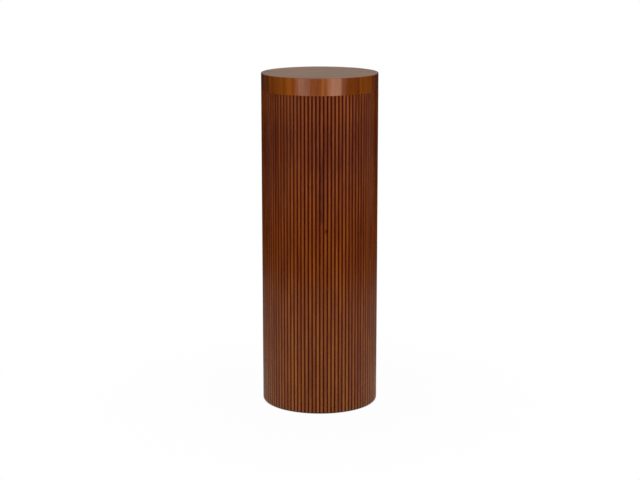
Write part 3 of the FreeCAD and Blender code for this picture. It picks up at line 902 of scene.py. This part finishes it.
def bent_plywood():
    """Bending plywood: plies one inside the other, grain upright."""
    material, wiring, shader, position = new_material("bent_plywood", Roughness=0.68)
    where = wiring.group(ROUND_COLUMN, Position=position)
    grain = wiring.group(GRAIN, Position=position, Shift=BENDING_PLY_SHIFT)
    plies = wiring.group(PLIES, Across=where["Reach"], Ply=BENDING_PLY_THICKNESS)
    wood = wiring.mix(grain["Figure"], BENDING_PLY["deep"], BENDING_PLY["pale"])
    wood = wiring.tint(wood, BENDING_PLY["end grain"], plies["End grain"], share=0.35)
    wood = wiring.tint(wood, BENDING_PLY["glue"], plies["Glue"], share=0.6)
    wiring.feed(shader["Base Color"], wood)
    add_relief(wiring, shader, grain["Fibre"], depth=0.08 * MM)
    return material


def pine_post():
    """Planed softwood: amber late wood between pale early wood, in rings about a far heart."""
    material, wiring, shader, position = new_material("pine_post", Roughness=0.55)
    grain = wiring.group(GRAIN, Position=position, Shift=PINE_SHIFT)
    heart = wiring.add("ShaderNodeMapping", {"Vector": position, "Location": PINE_HEART})
    rings = wiring.add(
        "ShaderNodeTexWave",
        {
            "Vector": wiring.scaled(heart.outputs[0], PINE_STRETCH),
            "Scale": PINE_RINGS,
            "Distortion": 2.5,
        },
        wave_type="RINGS",
        rings_direction="Z",
        wave_profile="SAW",
    ).outputs["Fac"]
    wood = wiring.mix(grain["Figure"], PINE["deep"], PINE["pale"])
    late = wiring.ramp(rings, low=0.55, high=0.98)
    wood = wiring.tint(wood, PINE["late wood"], late, share=0.75)
    wiring.feed(shader["Base Color"], wood)
    add_relief(wiring, shader, grain["Fibre"], depth=0.08 * MM)
    return material


def fibreboard(name, colors):
    """Pressed fibreboard, raw or under a brushed sealer."""
    material, wiring, shader, position = new_material(name)
    sealed = "sealer" in colors
    fibres = wiring.group(FIBRES, Position=position)
    red, green, blue, alpha = colors["board"]
    cloud = (red * BOARD_CLOUD, green * BOARD_CLOUD, blue * BOARD_CLOUD, alpha)
    board = wiring.mix(fibres["Cloud"], colors["board"], cloud)
    board = wiring.tint(board, colors["fleck"], fibres["Fleck"], share=0.45)
    if sealed:
        brushed = wiring.noise(position, BRUSH_STROKES)
        sealer = wiring.ramp(brushed, low=0.3, high=0.75, end=0.4)
        board = wiring.mix(sealer, board, colors["sealer"])
    rough = wiring.raised(fibres["Fleck"], least=0.5 if sealed else 0.8, more=0.12)
    wiring.feed(shader["Base Color"], board)
    wiring.feed(shader["Roughness"], rough)
    add_relief(wiring, shader, fibres["Fleck"], depth=0.05 * MM)
    return material


def tambour_canvas():
    """Plain-woven cotton, browned by glue and stain."""
    material, wiring, shader, position = new_material("tambour_canvas", Roughness=0.9)
    where = wiring.group(ROUND_COLUMN, Position=position)
    arc = wiring.math("MULTIPLY", where["Turn"], CANVAS_OUTER)
    across = wiring.math("DIVIDE", arc, CANVAS_THREAD)
    up = wiring.math("DIVIDE", where["Height"], CANVAS_THREAD)
    warp = wiring.math("ABSOLUTE", wiring.math("SINE", wiring.math("MULTIPLY", across, math.pi)))
    weft = wiring.math("ABSOLUTE", wiring.math("SINE", wiring.math("MULTIPLY", up, math.pi)))
    cells = wiring.math("ADD", wiring.math("FLOOR", across), wiring.math("FLOOR", up))
    over = wiring.math("FLOORED_MODULO", cells, 2.0)
    under = wiring.math("SUBTRACT", 1.0, over)
    weave = wiring.math("MULTIPLY_ADD", warp, over, wiring.math("MULTIPLY", weft, under))
    smears = wiring.noise(position, SMEAR_SCALE, detail=3.0, roughness=0.6)
    cloth = wiring.mix(weave, CANVAS["shadow"], CANVAS["thread"])
    glue = wiring.ramp(smears, low=0.45, high=0.7, end=0.7)
    cloth = wiring.mix(glue, cloth, CANVAS["glue"])
    wiring.feed(shader["Base Color"], cloth)
    add_relief(wiring, shader, weave, depth=0.25 * MM)
    return material


def zinc_screws():
    """Bright zinc plate, a little clouded, with the sheen of its passivation."""
    material, wiring, shader, position = new_material("zinc_screws", Metallic=1.0)
    cloud = wiring.noise(position, ZINC_CLOUDS, detail=3.0, roughness=0.6)
    tinge = wiring.noise(position, ZINC_TINGE, detail=1.0)
    metal = wiring.mix(cloud, ZINC["dull"], ZINC["bright"])
    yellowed = wiring.ramp(tinge, low=0.45, high=0.65, end=0.35)
    metal = wiring.mix(yellowed, metal, ZINC["yellow"])
    wiring.feed(shader["Base Color"], metal)
    wiring.feed(shader["Roughness"], wiring.raised(cloud, least=0.25, more=0.2))
    return material


def glide_nylon():
    """Moulded brown nylon, finely textured and scuffed on the sole."""
    material, wiring, shader, position = new_material("glide_nylon")
    grit = wiring.noise(position, NYLON_GRIT, detail=1.0)
    scuff = wiring.noise(position, NYLON_SCUFFS, detail=3.0, roughness=0.65)
    sole = wiring.ramp(wiring.parts(position)[2], *SOLE, start=0.6, end=0.0)
    worn = wiring.math("MULTIPLY", sole, wiring.ramp(scuff, low=0.45, high=0.6))
    nylon = wiring.mix(grit, NYLON["deep"], NYLON["pale"])
    nylon = wiring.mix(worn, nylon, NYLON["scuffed"])
    wiring.feed(shader["Base Color"], nylon)
    wiring.feed(shader["Roughness"], wiring.raised(worn, least=0.45, more=0.25))
    add_relief(wiring, shader, grit, depth=0.03 * MM)
    return material


ROUND_COLUMN = round_the_column()
GRAIN = straight_grain()
STAIN = stained_lacquer()
PLIES = plywood_layers()
FIBRES = pressed_fibres()
FINISHES = {
    "stained_slats": stained_slats(),
    "stained_band": stained_band(),
    "stained_top": stained_top(),
    "birch_plywood": birch_plywood(),
    "bent_plywood": bent_plywood(),
    "pine_post": pine_post(),
    "cap_fibreboard": fibreboard("cap_fibreboard", CAP_BOARD),
    "base_fibreboard": fibreboard("base_fibreboard", BASE_BOARD),
    "tambour_canvas": tambour_canvas(),
    "zinc_screws": zinc_screws(),
    "glide_nylon": glide_nylon(),
}


def dress_frame():
    """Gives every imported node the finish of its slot, hidden ones too."""
    for material in frame["record"]["materials"]:
        slot = material["slot"]
        for node in frame["nodes"].values():
            for place in node.material_slots:
                if place.material and place.material.name.split(".")[0] == slot:
                    place.material = FINISHES[slot]


# ------------------------------------------------------------------- studio

CAMERA_PLACE = (0.7 * MM, -4.30, 1.356)
CAMERA_PITCH = math.radians(11.89)
CAMERA_LENS = 89.49

# A soft light that faces the column's axis, from a distance and a middle height. Azimuth 0 is the
# camera's side, and 90 the right. A tilt of 90 faces it straight down, and -90 straight up. Gloss
# shows only the lamps that are mirrored.
Lamp = namedtuple("Lamp", "name azimuth distance size middle radiance tilt mirrored")
LAMPS = (
    Lamp("left_softbox", -32, 2.3, (0.84, 1.7), 0.95, 1.75, 0, True),
    Lamp("right_softbox", 30, 2.3, (1.02, 1.7), 0.95, 2.2, 0, True),
    Lamp("front_fill", 0, 3.0, (2.4, 1.0), 0.5, 4.2, 0, False),
    Lamp("top_fill", 0, 0.3, (2.0, 2.0), 3.2, 1.5, 90, False),
    Lamp("back_fill", 180, 3.4, (1.6, 1.8), 1.3, 6.0, 0, False),
    Lamp("under_fill", 0, 0.0, (1.6, 1.6), -1.2, 1.0, -90, True),
)

# The room: its soft light, and the brightness that gloss mirrors from its walls and its ceiling.
ROOM_LIGHT = 0.12
WALL_GLOSS = 0.03
CEILING_GLOSS = 1.0
CEILING_RISE = 0.5  # the upward part of the directions in which gloss sees the full ceiling

# The floor is a ring. Its white fades out at the column's edge, and under the slats its paint is
# painted near black, a painted contact shadow.
FLOOR_REACH = 1.6
FLOOR_OPENING = RADIUS * 0.86
FLOOR_STEPS = 128
FLOOR_PAINT = 0.85
# the paint is painted this dark under the slats: a painted contact shadow
FLOOR_SHADE = 0.04
FLOOR_SHADE_EDGE = (RADIUS * 0.965, RADIUS * 1.005)
FLOOR_GLOW = 0.975  # share of the floor's own white near the column
FLOOR_GLOW_FADE = (RADIUS * 1.2, FLOOR_REACH * 0.6)
FLOOR_GLOSS_FADE = 3 * RADIUS  # behind the axis, gloss sees a floor that grows darker up to here
# how much darker gloss sees the floor's white behind the column: painted shade
FLOOR_GLOSS_PAINTED_SHADE = -0.65


def make_camera():
    """A long lens, a little above the cap, looking down."""
    camera = bpy.data.objects.new("camera", bpy.data.cameras.new("camera"))
    camera.data.lens = CAMERA_LENS
    camera.location = CAMERA_PLACE
    camera.rotation_euler = (math.pi / 2 - CAMERA_PITCH, 0, 0)
    bpy.context.scene.collection.objects.link(camera)
    bpy.context.scene.camera = camera


def make_lamp(lamp):
    """A soft light in its place, of the same brightness at any size."""
    light = bpy.data.lights.new(lamp.name, "AREA")
    light.shape = "RECTANGLE"
    light.size, light.size_y = lamp.size
    light.energy = lamp.radiance * math.pi * light.size * light.size_y
    holder = bpy.data.objects.new(lamp.name, light)
    turn = math.radians(lamp.azimuth)
    holder.location = (
        math.sin(turn) * lamp.distance, -math.cos(turn) * lamp.distance, lamp.middle
    )
    holder.rotation_euler = (math.radians(90 - lamp.tilt), 0, turn)
    holder.visible_camera = False
    holder.visible_glossy = lamp.mirrored
    bpy.context.scene.collection.objects.link(holder)


def light_world():
    """A white background for the camera, over the plain soft light of a dim room."""
    world = bpy.data.worlds.new("studio")
    bpy.context.scene.world = world
    world.use_nodes = True
    wiring = Wiring(world.node_tree)
    background = world.node_tree.nodes["Background"].inputs
    rays = wiring.add("ShaderNodeLightPath").outputs
    upward = wiring.parts(wiring.add("ShaderNodeTexCoord").outputs["Generated"])[2]
    mirrored = wiring.ramp(upward, 0.0, CEILING_RISE, start=WALL_GLOSS, end=CEILING_GLOSS)
    seen = wiring.math("ADD", rays["Is Camera Ray"], rays["Is Transmission Ray"], clamp=True)
    gloss = wiring.math("MULTIPLY", rays["Is Glossy Ray"], mirrored)
    direct = wiring.math("ADD", seen, rays["Is Glossy Ray"], clamp=True)
    other = wiring.math("SUBTRACT", 1.0, direct)
    level = wiring.math("MULTIPLY_ADD", other, ROOM_LIGHT, wiring.math("ADD", seen, gloss))
    background["Color"].default_value = (1, 1, 1, 1)
    wiring.feed(background["Strength"], level)


def floor_material():
    """Pale paint that takes the shadows, painted near black under the column as a painted contact
    shadow, under the white that the camera and gloss see.
    """
    material = bpy.data.materials.new("floor")
    material.use_nodes = True
    material.node_tree.nodes.clear()
    wiring = Wiring(material.node_tree)
    position = wiring.add("ShaderNodeTexCoord").outputs["Object"]
    away = wiring.length(position)
    rays = wiring.add("ShaderNodeLightPath").outputs
    glow = wiring.ramp(away, *FLOOR_GLOW_FADE, start=FLOOR_GLOW)
    glow = wiring.math("MULTIPLY", glow, wiring.ramp(away, *FLOOR_SHADE_EDGE))
    # the paint's brightness: pale, and painted near black under the slats as a painted contact shadow
    pale = wiring.ramp(away, *FLOOR_SHADE_EDGE, start=FLOOR_SHADE, end=FLOOR_PAINT)
    behind = wiring.parts(position)[1]
    # behind the column the white that gloss sees carries painted shade
    painted_shade_behind = wiring.ramp(behind, 0.0, FLOOR_GLOSS_FADE, end=FLOOR_GLOSS_PAINTED_SHADE)
    strength = wiring.math("MULTIPLY_ADD", rays["Is Glossy Ray"], painted_shade_behind, 1.0)
    seen = wiring.math("ADD", rays["Is Camera Ray"], rays["Is Glossy Ray"])
    seen = wiring.math("ADD", seen, rays["Is Transmission Ray"], clamp=True)
    share = wiring.math("MULTIPLY", seen, glow)
    paint = wiring.add("ShaderNodeBsdfDiffuse", {"Color": pale}).outputs[0]
    white = wiring.add("ShaderNodeEmission", {"Color": (1, 1, 1, 1), "Strength": strength})
    above = wiring.add("ShaderNodeMixShader", {0: share, 1: paint, 2: white.outputs[0]})
    clear = wiring.add("ShaderNodeBsdfTransparent").outputs[0]
    below = wiring.add("ShaderNodeNewGeometry").outputs["Backfacing"]
    surface = wiring.add("ShaderNodeMixShader", {0: below, 1: above.outputs[0], 2: clear})
    wiring.feed(wiring.add("ShaderNodeOutputMaterial").inputs["Surface"], surface.outputs[0])
    return material


def make_floor():
    """A plain pale floor that keeps the column's shadow, with a painted contact shadow at its foot, and
    fades into the white background. It is open under the column, so that the underside gets some light
    from below."""
    work = bmesh.new()
    turned(work, [(FLOOR_OPENING, 0), (FLOOR_REACH, 0)], FLOOR_STEPS)
    work.normal_update()
    if work.faces[:][0].normal.z < 0:
        bmesh.ops.reverse_faces(work, faces=work.faces[:])
    mesh = bpy.data.meshes.new("floor")
    work.to_mesh(mesh)
    work.free()
    mesh.materials.append(floor_material())
    floor = bpy.data.objects.new("floor", mesh)
    bpy.context.scene.collection.objects.link(floor)


def make_studio():
    make_camera()
    light_world()
    make_floor()
    for lamp in LAMPS:
        make_lamp(lamp)
    bpy.context.scene.view_settings.view_transform = "Standard"


# ----------------------------------------------------------------- assembly

dress_frame()
for side in SIDES:
    make_slats(side)
    make_canvas(side)
    make_foot(side)
make_band()
make_top()
for screw_ring in SCREW_RINGS:
    make_screws(screw_ring)
make_studio()
